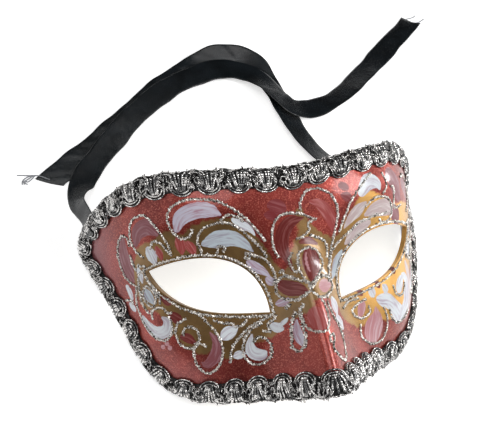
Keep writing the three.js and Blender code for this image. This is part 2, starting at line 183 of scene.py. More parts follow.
# Petals of the left temple, which the right temple has as well
TEMPLE_PETALS = [
    ("rose", [(-75.5, 21.5, 3), (-76.5, 16, 6), (-75.5, 9.5, 8), (-73, 3.5, 1.5)]),
    ("white", [(-69, 9, 1), (-68.5, 6, 3), (-68, 2.5, 0.5)]),
    ("pearl", [(-67, -0.5, 2), (-66, -3, 4.5), (-64.5, -5.5, 2)]),
    ("white", [(-77.5, 1, 2), (-76.5, -1.5, 3), (-76, -4, 2)]),
    ("white", [(-78, -6.5, 1.5), (-76.5, -8, 3), (-75.5, -9.5, 1)]),
]
PETALS += TEMPLE_PETALS
PETALS += [(paint, mirrored(line)) for paint, line in TEMPLE_PETALS]
# The right temple's own petals
PETALS += [
    ("rose", [(67.5, 20, 2.5), (66, 24, 5.5), (62.5, 27, 5.5), (60, 27.5, 1)]),
    ("white", [(72, -11, 1), (70.5, -15.5, 4), (68, -19, 4.5), (64.5, -20.5, 2)]),
]

# Paints: main colour and streak colour, as seen on a screen
PAINTS = {
    "lilac": ((0.79, 0.77, 0.83), (0.68, 0.52, 0.58)),
    "pearl": ((0.75, 0.79, 0.82), (0.62, 0.59, 0.65)),
    "white": ((0.88, 0.90, 0.92), (0.74, 0.69, 0.74)),
    "rose": ((0.53, 0.31, 0.33), (0.64, 0.47, 0.50)),
    "wine": ((0.43, 0.17, 0.16), (0.56, 0.32, 0.31)),
    "brick": ((0.62, 0.28, 0.27), (0.75, 0.47, 0.46)),
    "mauve": ((0.50, 0.20, 0.21), (0.60, 0.34, 0.35)),
    "shell": ((0.76, 0.68, 0.68), (0.85, 0.82, 0.81)),
    "blush": ((0.74, 0.52, 0.54), (0.82, 0.70, 0.72)),
}

# Silver glitter lines, as (across, up)
LINES = [
    [(-41.5, 23), (-43, 20.5), (-46, 19.5), (-49, 21.5), (-50.5, 24.5), (-51, 28), (-49.5, 32),
     (-44.5, 34.5), (-38, 34.5), (-31.5, 33), (-26.5, 30), (-22.5, 26.5), (-19, 22.5),
     (-15.5, 17.5), (-13.5, 14)],
    [(-39.5, 13), (-40.5, 17.5), (-39, 21.5), (-35, 23.5), (-29, 24), (-24.5, 21.5), (-20, 17),
     (-16.5, 12.5), (-13.5, 7.5)],
    [(-30.5, 25), (-28, 26.5), (-25, 26), (-23, 25), (-21.5, 23)],
    [(-65, 13), (-69, 16.5), (-70.5, 21), (-70, 25.5), (-67.5, 29), (-63, 30.5), (-60, 29.5),
     (-57.5, 26.5), (-55, 22.5), (-53, 18.5), (-52, 13.5)],
    [(-61, 16.5), (-59, 19.5), (-56, 18.5), (-53.5, 15.5), (-52, 13)],
    [(-33.5, 12), (-32.5, 14.5), (-30, 14), (-31, 12)],
    [(-21.5, 10.5), (-22.5, 8.5), (-20.5, 8), (-20.5, 10), (-18, 8.5)],
    [(-71.5, 1.5), (-73.5, -5.5), (-72.5, -12), (-69.5, -17.5), (-65.5, -21), (-60.5, -21.5),
     (-57, -18), (-57, -14), (-58, -11.5)],
    [(-66, -13), (-66, -10), (-64, -8.5), (-60, -8), (-58.5, -10), (-56, -10.5)],
    [(-52, -20), (-52, -18), (-50, -16.5), (-46.5, -17.5), (-45.5, -21), (-47, -24.5), (-50, -25.5),
     (-54, -23.5), (-55.5, -19), (-54, -15), (-50, -13)],
    [(-45.5, -11), (-43, -13.5), (-39.5, -18), (-37, -23.5), (-37, -29.5), (-40, -35), (-44.5, -37),
     (-48, -34.5), (-49, -29), (-48, -24.5), (-46, -23.5), (-43, -25.5)],
    [(-39, -15), (-35, -16.5), (-31.5, -17), (-30, -19), (-27.5, -18.5), (-25, -16.5)],
    [(-34.5, -33.5), (-33, -28), (-29.5, -23.5), (-25, -20), (-20, -17.5), (-16, -16)],
    [(-24, -26), (-22, -24), (-19, -25), (-18, -28), (-19.5, -32.5), (-23.5, -35), (-26.5, -34),
     (-28.5, -31), (-28.5, -27.5), (-26.5, -23), (-23, -20), (-19.5, -18.5)],
    [(-20, -21.5), (-17.5, -22), (-17.5, -19), (-15.5, -17.5), (-14, -15.5)],
    [(-7.5, -14.5), (-10, -20), (-11, -25.5), (-11, -28.5), (-9.5, -29.5), (-8, -28), (-6.5, -24.5),
     (-6.5, -20), (-6, -15)],
    [(-4.5, -11.5), (-6.5, -15.5), (-5.5, -20), (-3, -22), (1.5, -22), (4, -19), (4.5, -15), (3, -11)],
    [(6, -12.5), (7.5, -19), (10, -23.5), (11, -28)],
    [(2, -27), (2, -24.5), (4.5, -25), (2.5, -29), (5, -33), (8.5, -36), (10.5, -30.5), (10, -24.5)],
    [(-9, 6.5), (-10.5, 11), (-10.5, 16.5), (-9, 21), (-5.5, 23.5), (-1.5, 23.5), (3, 22.5),
     (6.5, 20.5), (9, 19.5)],
    [(2.5, 24), (3, 27.5), (5.5, 31), (10, 32), (15, 30), (18, 26), (19, 20.5), (17.5, 15),
     (15.5, 9), (13.5, 3.5), (12, -1.5)],
    [(-1, 13), (2, 13.5), (5, 15.5), (5, 18.5), (7.5, 19.5)],
    [(5, 13.5), (9, 12), (12, 9.5), (12.5, 6), (12, 3)],
    [(-3.5, 8), (-5.5, 5), (-5, 2), (-3.5, 0)],
    [(-0.5, -6), (-0.5, -4.5), (-2.5, -0.5), (-2.5, 4), (-1, 7.5), (2.5, 9), (6.5, 7.5), (9, 4),
     (9, 0.5), (5, -2.5), (0.5, -4.5), (-0.5, -6)],
    [(-0.5, -6.5), (-1.5, -3.5), (-4.5, -2.5), (-8, -1), (-10.5, -2), (-12, -5.5), (-12, -8),
     (-9.5, -10), (-5.5, -10), (-2.5, -8), (-0.5, -7)],
    [(-0.5, -6.5), (4.5, -3.5), (9, -3.5), (12, -6), (11.5, -9.5), (7.5, -11), (2.5, -10), (0, -7.5)],
    [(-22.5, 10.5), (-18.5, 9), (-14.5, 6.5), (-12, 2), (-11.5, -1.5), (-13, -4)],
    [(-10, 0.5), (-8.5, 1.5), (-8, -0.5), (-5, -2)],
    [(-10.5, -13.5), (-8.5, -11.5)],
    [(10.5, -6.5), (12.5, -1.5), (15.5, 6), (22, 10.5), (29.5, 14.5), (36.5, 16), (46, 16.5)],
    [(19, 12.5), (22.5, 19), (27, 26), (34, 32), (38, 34.5)],
    [(33, 21), (38.5, 24), (45.5, 23), (49.5, 18.5), (48, 14), (44, 12.5), (40.5, 14.5)],
    [(44.5, 34), (46, 28), (43, 25)],
    [(48.5, 27), (51, 26.5), (51.5, 18), (57.5, 18)],
    [(24.5, -27.5), (24.5, -33), (31, -38), (38, -38), (41, -33.5), (41, -28.5), (39, -23.5)],
    [(30.5, -21), (31, -24), (26, -25.5), (21.5, -23), (21.5, -20.5), (25, -19), (29.5, -18)],
    [(15.5, -18.5), (19.5, -17), (25.5, -17)],
    [(47, -15.5), (47, -18), (49, -20.5), (52.5, -21), (55, -19), (56, -16.5)],
    [(42.5, -25), (43.5, -28.5), (47, -32), (51, -33), (55, -31.5), (58.5, -29)],
]

# Glitter lines of the left temple, which the right temple has as well
TEMPLE_LINES = [
    [(-72.5, 1.5), (-77, 4.5), (-79, 9), (-80, 14), (-78.5, 19.5), (-75.5, 22.5), (-72.5, 21.5),
     (-71.5, 18)],
    [(-72.5, 14.5), (-71.5, 11), (-70, 7.5)],
    [(-69, 10), (-65, 9), (-69.5, 6)],
    [(-66, 1.5), (-69, -1.5), (-68, -5.5), (-65, -7.5), (-62.5, -4.5), (-63, -1), (-66, 1.5)],
    [(-65.5, 4), (-62.8, 0.5), (-61, -3.5), (-60.8, -6.5)],
    [(-69.8, 5), (-70.4, -0.5), (-70.2, -6), (-67.5, -10.5)],
    [(-80.5, -5), (-77, -5), (-75.5, -6.5)],
]
LINES += TEMPLE_LINES
LINES += [mirrored(line) for line in TEMPLE_LINES]
# The right temple's own glitter lines
LINES += [
    [(65, 14), (68.5, 17), (70.3, 21), (70, 25.5), (67.5, 29), (63.5, 31), (60, 30)],
    [(71.5, 1.5), (73.5, -5.5), (73, -12), (71.5, -17.5), (68, -22), (63, -23)],
]

# The edge of the ochre ground round the eyes, as (across, up)
OCHRE_EDGE = [
    (-70, 13), (-67.5, 18), (-60.5, 20), (-54, 23.5), (-50.5, 23.5), (-47.5, 21.5), (-43, 24),
    (-37, 26), (-30, 26), (-23.5, 25.5), (-19, 21), (-14.5, 13.5), (-11, 6.5), (-7.5, 2),
    (-3.5, 10.5), (0, 16.5), (0, 24), (3, 25), (6, 19.5), (10, 15), (16, 11), (19, 13.5),
    (24, 19.5), (29.5, 25.5), (35, 27.5), (40.5, 25.5), (49.5, 20.5), (61, 19.5), (69.5, 17),
    (72, 9), (72.5, 1), (72, -6), (67, -12), (61, -25), (52, -30), (42, -30.5), (31.5, -28.5),
    (24, -29), (15, -23.5), (10, -14.5), (1, -10.5),
    (-1.5, -15), (-5.5, -16.5), (-11.5, -19), (-16.5, -24.5), (-25, -27.5), (-30.5, -32), (-35.5, -32),
    (-41.5, -28), (-46.5, -29), (-54.5, -23), (-59.5, -15), (-64.5, -9.5), (-69.5, -9.5),
    (-72.5, -4.5), (-72.5, 2.5), (-72, 9),
]

# Mesh cells of the painted front and of the plain back
SHELL_CELL = 0.65
BACK_CELL = 2.5
# Spacing of the cells' rows and their gap to a ring, as shares of a cell
CELL_ROW = 0.866
CELL_GAP = 0.45
EYE_STEPS = 90
RIM_STEPS = 40
SHARP_EDGE = math.radians(50)

# The smallest length that counts
TINY = 1e-9

RANDOM = np.random.default_rng(7)


# Face mapping

def running_sum(steps):
    return np.concatenate([[0], np.cumsum(steps)])


def run_along(points):
    # The distance run along a polyline up to each of its points
    return running_sum(np.linalg.norm(np.diff(points, axis=0), axis=1))


def unit(vectors):
    return vectors / np.maximum(np.linalg.norm(vectors, axis=-1, keepdims=True), TINY)


def walk_section():
    # The bend across the face from its centre line: distance run, x, z and heading
    middles = np.arange(SECTION_STEP / 2, SECTION_REACH, SECTION_STEP)
    fade = np.exp(-(((middles - TEMPLE_BEND_AT) / TEMPLE_BEND_SPREAD) ** 2))
    bend = 1 / FRONT_RADIUS + (1 / TEMPLE_RADIUS - 1 / FRONT_RADIUS) * fade
    heading = running_sum(bend * SECTION_STEP)
    middle = (heading[1:] + heading[:-1]) / 2
    x = running_sum(np.cos(middle) * SECTION_STEP)
    z = -running_sum(np.sin(middle) * SECTION_STEP)
    return np.arange(len(x)) * SECTION_STEP, x, z, heading


SECTION = walk_section()


def nose_height(distance, up):
    drop = np.clip((NOSE_TOP - up) / (NOSE_TOP - NOSE_FOOT), 0, NOSE_DROP_LIMIT)
    width = NOSE_TOP_WIDTH + (NOSE_FOOT_WIDTH - NOSE_TOP_WIDTH) * drop
    flank = np.hypot(distance, RIDGE_ROUND) / width
    return NOSE_RISE * drop * np.exp(-(flank ** NOSE_FLANK_POWER))


def front_point(across, up):
    distance = np.abs(across)
    x, z, heading = (np.interp(distance, SECTION[0], values) for values in SECTION[1:])
    swell = -((up - UPRIGHT_CENTRE) ** 2) / (2 * UPRIGHT_RADIUS) + FOREHEAD_LEAN * up
    for out, form_across, form_up, wide, high in FACE_FORMS:
        fall = ((distance - form_across) / wide) ** 2 + ((up - form_up) / high) ** 2
        swell = swell + out * np.exp(-fall)
    outwards = np.sign(across) * (x + np.sin(heading) * swell)
    forwards = z + np.cos(heading) * swell + nose_height(distance, up)
    return np.stack([outwards, up, forwards], -1)


def front_normal(across, up):
    sideways = front_point(across + NORMAL_STEP, up) - front_point(across - NORMAL_STEP, up)
    upwards = front_point(across, up + NORMAL_STEP) - front_point(across, up - NORMAL_STEP)
    return unit(np.cross(sideways, upwards))


def tilt(vectors):
    turn = np.array(Matrix.Rotation(REST_TILT, 3, "X"))
    return vectors @ turn.T


def mask_point(across, up, out=0.0):
    across = np.asarray(across, float)
    up = np.asarray(up, float)
    out = np.broadcast_to(np.asarray(out, float), across.shape)
    upright = front_point(across, up) + front_normal(across, up) * out[..., None]
    return tilt(upright) + np.array([0, REST_BACK, REST_RISE])


# Curves

def closed(ring):
    return np.concatenate([ring, ring[:1]])


def mirror_ring(half):
    return half + mirrored(half[-2:0:-1])


def round_ring(ring, steps):
    ring = np.array(ring, float)
    points = []
    for i, here in enumerate(ring):
        start = (ring[i - 1] + here) / 2
        end = (ring[(i + 1) % len(ring)] + here) / 2
        for t in np.arange(steps) / steps:
            points.append((1 - t) ** 2 * start + 2 * t * (1 - t) * here + t ** 2 * end)
    return np.array(points)


def lid(start, handles, end):
    t = (np.arange(EYE_STEPS) / EYE_STEPS)[:, None]
    a, b, c, d = (np.array(p, float) for p in (start, *handles, end))
    return (1 - t) ** 3 * a + 3 * t * (1 - t) ** 2 * b + 3 * t ** 2 * (1 - t) * c + t ** 3 * d


def eye_ring(side):
    upper = lid(EYE_OUTER, UPPER_LID, EYE_INNER)
    lower = lid(EYE_INNER, LOWER_LID, EYE_OUTER)
    return np.concatenate([upper, lower]) * np.array([side, 1])


def smooth_line(points, step):
    # A Catmull-Rom curve through the points, with its places about one step apart
    p = np.array(points, float)
    p = np.concatenate([[2 * p[0] - p[1]], p, [2 * p[-1] - p[-2]]])
    out = []
    for a, b, c, d in zip(p[:-3], p[1:-2], p[2:-1], p[3:]):
        count = max(2, int(np.ceil(np.linalg.norm((c - b)[:2]) / step)))
        t = (np.arange(count) / count)[:, None]
        out.append(0.5 * (2 * b + (c - a) * t + (2 * a - 5 * b + 4 * c - d) * t ** 2
                          + (3 * b - a - 3 * c + d) * t ** 3))
    out.append(p[-2][None])
    return np.concatenate(out)


def even_line(points, step):
    # The same polyline with its places at even distances
    run = run_along(points)
    count = max(3, int(round(run[-1] / step)) + 1)
    targets = np.linspace(0, run[-1], count)
    return np.stack([np.interp(targets, run, values) for values in points.T], -1)


# Meshes

# Kind and field of an attribute by the count of its numbers
ATTRIBUTE_KINDS = {1: ("FLOAT", "value"), 3: ("FLOAT_VECTOR", "vector"), 4: ("FLOAT_COLOR", "color")}


def add_object(name, data):
    added = bpy.data.objects.new(name, data)
    bpy.context.scene.collection.objects.link(added)
    return added


def add_mesh(name, points, faces, material, smooth=True):
    mesh = bpy.data.meshes.new(name)
    mesh.from_pydata([tuple(p) for p in np.asarray(points) * MM], [], [tuple(f) for f in faces])
    mesh.polygons.foreach_set("use_smooth", [smooth] * len(mesh.polygons))
    mesh.materials.append(material)
    mesh.update()
    return add_object(name, mesh)


def add_attribute(piece, name, values, domain="POINT"):
    values = np.asarray(values, np.float32)
    kind, field = ATTRIBUTE_KINDS[1 if values.ndim == 1 else values.shape[-1]]
    attribute = piece.data.attributes.new(name, kind, domain)
    attribute.data.foreach_set(field, values.ravel())


def sweep_faces(ring_count, size, start=0, is_closed=False):
    # Quads between neighbouring rings of points, with a cap at each end of an open sweep
    rows = np.arange(ring_count if is_closed else ring_count - 1)
    i, j = np.meshgrid(rows, np.arange(size), indexing="ij")
    k = (j + 1) % size
    here = i * size
    after = ((i + 1) % ring_count) * size
    quads = np.stack([here + j, after + j, after + k, here + k], -1).reshape(-1, 4) + start
    faces = quads.tolist()
    if not is_closed:
        faces.append([start + n for n in range(size)])
        faces.append([start + (ring_count - 1) * size + n for n in reversed(range(size))])
    return faces


def sweeps_mesh(name, sweeps, material, smooth=True):
    # One mesh of several sweeps, each an array of rings of points
    faces = []
    start = 0
    for rings in sweeps:
        count, size = rings.shape[:2]
        faces += sweep_faces(count, size, start)
        start += count * size
    points = np.concatenate([rings.reshape(-1, 3) for rings in sweeps])
    return add_mesh(name, points, faces, material, smooth)


def above_table(points, clearance):
    points[..., 2] = np.maximum(points[..., 2], clearance)
    return points


# Materials

# Colours as they look on a screen, the darker one first where there are two
COPPER = ((0.46, 0.15, 0.13), (0.57, 0.21, 0.18))
COPPER_FLECK = (0.90, 0.50, 0.42)
# Paler, greyish pink copper: painted reflection on the left temple and lower left cheek
COPPER_PAINTED_REFLECTION = (0.52, 0.31, 0.33)
OCHRE = ((0.49, 0.38, 0.24), (0.59, 0.46, 0.28))
# Lighter, yellower ochre: painted highlight on the right side
OCHRE_PAINTED_HIGHLIGHT = (0.90, 0.69, 0.38)
PAPER = ((0.80, 0.77, 0.71), (0.88, 0.86, 0.82))
GLITTER_DARK = ((0.2, 0.18, 0.17), (0.80, 0.77, 0.74))
GLITTER_BRIGHT = (1, 0.99, 0.97)
SATIN = ((0.05, 0.065, 0.075), (0.09, 0.11, 0.125))
THREAD = ((0.42, 0.43, 0.45), (0.72, 0.73, 0.75))
FLOOR = ((0.955, 0.955, 0.955), (0.965, 0.965, 0.965))
WHITE = (1, 1, 1)
# name, dark and light colour, scale of the specks, roughness and metallic share
# The ground's near black is painted shade in the gaps between the cords, and the yarns' dark specks are
# painted shade between their turns
BRAID_SHADED_GROUND = ("braid_ground_painted_shade", (0.02, 0.02, 0.02), (0.2, 0.2, 0.2), 1500, 0.5, 0.3)
BRAID_BRIGHT = ("bright_silver_cord", (0.42, 0.42, 0.42), (0.95, 0.94, 0.93), 420, 0.2, 0.9)
BRAID_DULL = ("silver_yarn", (0.04, 0.04, 0.04), (0.84, 0.83, 0.82), 600, 0.22, 0.9)


def screen_colour(colour):
    # The linear value, with alpha, of a colour given as it looks on a screen
    values = np.array(colour, float)
    linear = np.where(values <= 0.04045, values / 12.92, ((values + 0.055) / 1.055) ** 2.4)
    return (*linear, 1)


class Nodes:
    # A small helper for building the node tree of one material or world

    def __init__(self, owner):
        owner.use_nodes = True
        self.owner = owner
        self.tree = owner.node_tree

    def put(self, target, value):
        if isinstance(value, bpy.types.NodeSocket):
            self.tree.links.new(value, target)
        else:
            target.default_value = screen_colour(value) if target.type == "RGBA" else value

    def add(self, kind, inputs=None, **settings):
        node = self.tree.nodes.new(kind)
        for key, value in settings.items():
            setattr(node, key, value)
        for key, value in (inputs or {}).items():
            self.put(node.inputs[key], value)
        return node

    def attribute(self, name, output="Fac"):
        return self.add("ShaderNodeAttribute", attribute_name=name).outputs[output]

    def position(self, scale=(1, 1, 1)):
        place = self.add("ShaderNodeTexCoord").outputs["Object"]
        return self.add("ShaderNodeMapping", {"Vector": place, "Scale": scale}).outputs["Vector"]

    def noise(self, vector, scale, detail=2, roughness=0.5, distortion=0):
        inputs = {"Scale": scale, "Detail": detail, "Roughness": roughness, "Distortion": distortion}
        return self.add("ShaderNodeTexNoise", {"Vector": vector, **inputs}).outputs["Fac"]

    def cells(self, vector, scale, output):
        return self.add("ShaderNodeTexVoronoi", {"Vector": vector, "Scale": scale}).outputs[output]

    def math(self, operation, a, b=0.0, c=0.0):
        return self.add("ShaderNodeMath", {0: a, 1: b, 2: c}, operation=operation).outputs[0]

    def scaled(self, value, factor, offset):
        return self.math("MULTIPLY_ADD", value, factor, offset)

    def between(self, value, low, high, start=0.0, end=1.0, kind="SMOOTHSTEP"):
        inputs = {"Value": value, "From Min": low, "From Max": high, "To Min": start, "To Max": end}
        return self.add("ShaderNodeMapRange", inputs, interpolation_type=kind).outputs["Result"]

    def mix(self, share, a, b):
        node = self.add("ShaderNodeMix", {"Factor": share}, data_type="RGBA")
        first, second = (socket for socket in node.inputs if socket.type == "RGBA")
        self.put(first, a)
        self.put(second, b)
        return next(socket for socket in node.outputs if socket.type == "RGBA")

    def bump(self, height, strength, distance, normal=None):
        inputs = {"Height": height, "Strength": strength, "Distance": distance}
        if normal is not None:
            inputs["Normal"] = normal
        return self.add("ShaderNodeBump", inputs).outputs["Normal"]

    def shade(self, **values):
        shader = self.tree.nodes["Principled BSDF"]
        for name, value in values.items():
            self.put(shader.inputs[name.replace("_", " ")], value)
        return self.owner


def material_nodes(name):
    return Nodes(bpy.data.materials.new(name))


def paint_material():
    n = material_nodes("painted_face")
    place = n.position()
    grain = n.add("ShaderNodeSeparateColor", {0: n.cells(place, 3200, "Color")}).outputs
    cloud = n.noise(place, 90, 4)
    copper = n.mix(n.between(cloud, 0.35, 0.65), *COPPER)
    copper = n.mix(n.between(grain[0], 0.65, 1.0, 0, 0.5), copper, COPPER_FLECK)
    # Painted reflection: the copper turns paler and greyer on the left temple and lower left cheek, where the
    # "pale" share is set
    copper = n.mix(n.attribute("pale"), copper, COPPER_PAINTED_REFLECTION)
    ochre = n.mix(n.between(cloud, 0.3, 0.7), *OCHRE)
    # Painted highlight: the ochre turns lighter and yellower towards the lit right side
    ochre = n.mix(n.attribute("ochre_highlight"), ochre, OCHRE_PAINTED_HIGHLIGHT)
    border = n.math("ADD", n.attribute("ochre"), n.scaled(n.noise(place, 500, 3), 3.0, -1.0))
    ground = n.mix(n.between(border, -0.7, 0.7), ochre, copper)
    streaks = n.noise(n.attribute("stroke", "Vector"), 1, 3, 0.6, 0.3)
    streak = n.between(streaks, 0.42, 0.7)
    painted = n.mix(streak, n.attribute("paint", "Color"), n.attribute("streak", "Color"))
    edge = n.math("ADD", n.attribute("edge"), n.scaled(n.noise(place, 900, 2), 0.5, -0.25))
    bare = n.between(edge, -0.08, 0.08)
    lumps = n.bump(n.noise(place, 120, 3), 0.25, 0.0006)
    sparkle = n.bump(n.math("MULTIPLY", grain[1], bare), 0.35, 0.00012, lumps)
    bristles = n.math("MULTIPLY", streaks, n.math("SUBTRACT", 1.0, bare))
    return n.shade(
        Base_Color=n.mix(bare, painted, ground), Normal=n.bump(bristles, 0.3, 0.0002, sparkle),
        Metallic=n.math("MULTIPLY", bare, 0.65), Roughness=n.scaled(bare, 0.1, 0.28),
        Specular_IOR_Level=n.scaled(bare, 0.3, 0.2), Coat_Weight=n.scaled(bare, 0.2, 0.2),
        Coat_Roughness=0.09,
    )


def paper_material():
    n = material_nodes("bare_paper_inside")
    cloud = n.noise(n.position(), 60, 5, 0.6)
    fibres = n.noise(n.position((1, 6, 1)), 700, 3)
    relief = n.bump(n.math("ADD", cloud, n.math("MULTIPLY", fibres, 0.4)), 0.5, 0.0008)
    return n.shade(Base_Color=n.mix(n.between(cloud, 0.3, 0.7), *PAPER), Roughness=0.85, Normal=relief)


def glitter_material():
    n = material_nodes("silver_glitter")
    grain = n.attribute("grain")
    dark = n.mix(n.between(grain, 0.15, 0.32), *GLITTER_DARK)
    colour = n.mix(n.between(grain, 0.6, 0.85), dark, GLITTER_BRIGHT)
    flakes = n.bump(n.cells(n.position(), 2500, "Distance"), 0.6, 0.0002)
    return n.shade(Base_Color=colour, Metallic=0.85, Roughness=0.28, Normal=flakes)


def braid_material(name, dark, light, speck, roughness, metal):
    # Silver yarn in dark and light specks, banded along its twist: the dark specks and the bands are painted
    # shade between its turns and cords
    n = material_nodes(name)
    twist_shade_and_relief = n.math("SINE", n.math("MULTIPLY", n.attribute("along"), 4.2))
    cloud = n.noise(n.position(), speck, 1, 0.5)
    colour = n.mix(n.scaled(twist_shade_and_relief, 0.1, n.between(cloud, 0.43, 0.57)), dark, light)
    relief = n.bump(twist_shade_and_relief, 0.5, 0.00015)
    return n.shade(Base_Color=colour, Metallic=metal, Roughness=roughness, Normal=relief)


def satin_material():
    n = material_nodes("black_satin_weave")
    place = n.attribute("weave", "Vector")
    inputs = {"Vector": place, "Scale": 0.9, "Distortion": 0.4}
    ribs = n.add("ShaderNodeTexWave", inputs, wave_type="BANDS", bands_direction="X").outputs["Fac"]
    cloud = n.noise(place, 0.12, 3)
    creases = n.bump(cloud, 0.2, 0.0012)
    return n.shade(
        Base_Color=n.mix(n.between(cloud, 0.3, 0.7), *SATIN), Normal=n.bump(ribs, 0.3, 0.00012, creases),
        Roughness=0.27, Specular_IOR_Level=0.55, Anisotropic=0.4,
    )


def thread_material():
    n = material_nodes("frayed_thread")
    return n.shade(Base_Color=n.mix(n.noise(n.position(), 900, 2), *THREAD), Roughness=0.5)


def floor_material():
    n = material_nodes("pale_floor")
    return n.shade(
        Base_Color=n.mix(n.noise(n.position(), 12, 3), *FLOOR), Roughness=0.9, Specular_IOR_Level=0.1,
        Emission_Color=WHITE, Emission_Strength=0.6,
    )


# Camera at the photograph's place

CAMERA_PLACE = (-110.79, -102.54, 333.55)
CAMERA_RIGHT = (0.9445, -0.2632, 0.1965)
CAMERA_UP = (0.1537, 0.8829, 0.4437)
CAMERA_LENS = 57.54
CAMERA_SENSOR = 36
CAMERA_NEAR = 10


def add_camera():
    data = bpy.data.cameras.new("camera")
    data.lens = CAMERA_LENS
    data.sensor_width = CAMERA_SENSOR
    data.sensor_fit = "HORIZONTAL"
    data.clip_start = CAMERA_NEAR * MM
    right = Vector(CAMERA_RIGHT).normalized()
    up = Vector(CAMERA_UP)
    up = (up - right * up.dot(right)).normalized()
    turn = Matrix((right, up, right.cross(up))).transposed().to_4x4()
    camera = add_object("camera", data)
    camera.matrix_world = Matrix.Translation(Vector(CAMERA_PLACE) * MM) @ turn
    bpy.context.scene.camera = camera


# Ties

TIE_STATIONS = 420
TIE_COLUMNS = 17
TIE_FLOOR = 0.05
# How far the cut's slant and hollow reach back from the end
TIE_CUT_FADE = 14.0
# Half of the satin's thickness, and how much of it is lost at the edges
RIBBON_SKIN = 0.2
RIBBON_EDGE_LOSS = 0.08
RIBBON_EDGE_POWER = 8
# How far the edges wander and the skin lifts, with the lengths of their waves
TIE_WANDER = 0.55
TIE_WANDER_WAVES = (31, 19, 12)
TIE_LIFT = 0.12
TIE_LIFT_LIMIT = 0.3
TIE_LIFT_WAVES = (23, 11, 6)
# node, side, route, seed of the waves, and the slant and hollow of the cut
LEFT_TIE = ("ribbon_left", -1, LEFT_ROUTE, 1.3, (0.0, 1.6))
RIGHT_TIE = ("ribbon_right", 1, RIGHT_ROUTE, 4.1, (-3.3, -0.5))


def tie_path(points, shares):
    # Centripetal Catmull-Rom curve through the points, read at each share of its run
    points = [np.array(p, float) for p in points]
    places = []
    for share in shares:
        run = share * (len(points) - 1)
        i = min(int(run), len(points) - 2)
        t = run - i
        b = points[i]
        c = points[i + 1]
        a = points[i - 1] if i > 0 else 2 * b - c
        d = points[i + 2] if i + 2 < len(points) else 2 * c - b
        gaps = [max(np.linalg.norm(q - p), 1e-4) ** 0.5 for p, q in ((a, b), (b, c), (c, d))]
        start = ((b - a) / gaps[0] - (c - a) / (gaps[0] + gaps[1]) + (c - b) / gaps[1]) * gaps[1]
        end = ((c - b) / gaps[1] - (d - b) / (gaps[1] + gaps[2]) + (d - c) / gaps[2]) * gaps[1]
        bend = -3 * b + 3 * c - 2 * start - end
        twist = 2 * b - 2 * c + start + end
        places.append(b + start * t + bend * t ** 2 + twist * t ** 3)
    return np.array(places)


def tie_stops(side, route):
    under = -WALL - TIE_ROOT_CLEARANCE - TIE_THICKNESS / 2
    stops = [mask_point(side * a, u, under) for a, u in TIE_ROOT]
    banks = [TIE_ROOT_BANK] * len(stops)
    for x, y, rise, bank in route:
        lift = TIE_WIDTH / 2 * math.sin(math.radians(abs(bank)))
        stops.append(np.array([x, y, TIE_THICKNESS / 2 + TABLE_CLEARANCE + rise + lift]))
        banks.append(bank)
    return stops, np.array(banks, float)


def tie_frame(side, route):
    # The tie's middle line, its heading, the directions of its width and thickness, and its bank
    stops, banks = tie_stops(side, route)
    shares = np.linspace(0, 1, TIE_STATIONS)
    centre = tie_path(stops, shares)
    bank = np.radians(np.interp(shares * (len(stops) - 1), np.arange(len(stops)), banks))
    heading = unit(np.gradient(centre, axis=0))
    level = unit(np.stack([-heading[:, 1], heading[:, 0], np.zeros(len(heading))], -1)) * side
    wide = level * np.cos(bank)[:, None] + np.array([0, 0, 1]) * np.sin(bank)[:, None]
    wide = unit(wide - heading * (wide * heading).sum(1, keepdims=True))
    thick = np.cross(heading, wide)
    thick = thick * np.where(thick[:, 2:3] < 0, -1, 1)
    return centre, heading, wide, thick, bank


def wave(along, seed, lengths):
    total = np.zeros_like(along)
    for i, length in enumerate(lengths):
        total += np.sin(along * 2 * math.pi / length + seed * (i + 1.7)) / (i + 1)
    return total / 2


def tie_piece(name, side, route, seed, cut, material):
    centre, heading, wide, thick, bank = tie_frame(side, route)
    along = run_along(centre)
    slant, hollow = cut
    fade = np.clip((along - along[-1] + TIE_CUT_FADE) / TIE_CUT_FADE, 0, 1) ** 2
    sides = [TIE_WIDTH / 2 + TIE_WANDER * wave(along, seed + s, TIE_WANDER_WAVES) for s in (0, 3)]
    across = np.linspace(-1, 1, TIE_COLUMNS)
    around = np.concatenate([across, across[::-1]])
    rings = []
    for face, x in zip(np.repeat([1, -1], TIE_COLUMNS), around):
        lift = TIE_LIFT * (1 + wave(along + TIE_WIDTH / 2 * x, seed + 2, TIE_LIFT_WAVES)) * (1 - bank)
        skin = face * (RIBBON_SKIN - RIBBON_EDGE_LOSS * abs(x) ** RIBBON_EDGE_POWER)
        rise = skin + np.clip(lift, 0, TIE_LIFT_LIMIT)
        half = sides[0] * (1 + x) / 2 + sides[1] * (1 - x) / 2
        shift = (slant * x - hollow * (1 - x * x)) * fade
        rings.append(centre + wide * (x * half)[:, None] + thick * rise[:, None] + heading * shift[:, None])
    points = above_table(np.stack(rings, 1), TIE_FLOOR)
    piece = sweeps_mesh(name, [points], material)
    weave = np.zeros(points.shape)
    weave[..., 0] = along[:, None]
    weave[..., 1] = around * TIE_WIDTH / 2
    add_attribute(piece, "weave", weave)
    return piece, centre


def add_tie(tie, material):
    node, side, route, seed, cut = tie
    piece, centre = tie_piece(node + "_satin", side, route, seed, cut, material)
    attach(piece, "root")
    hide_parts(node)


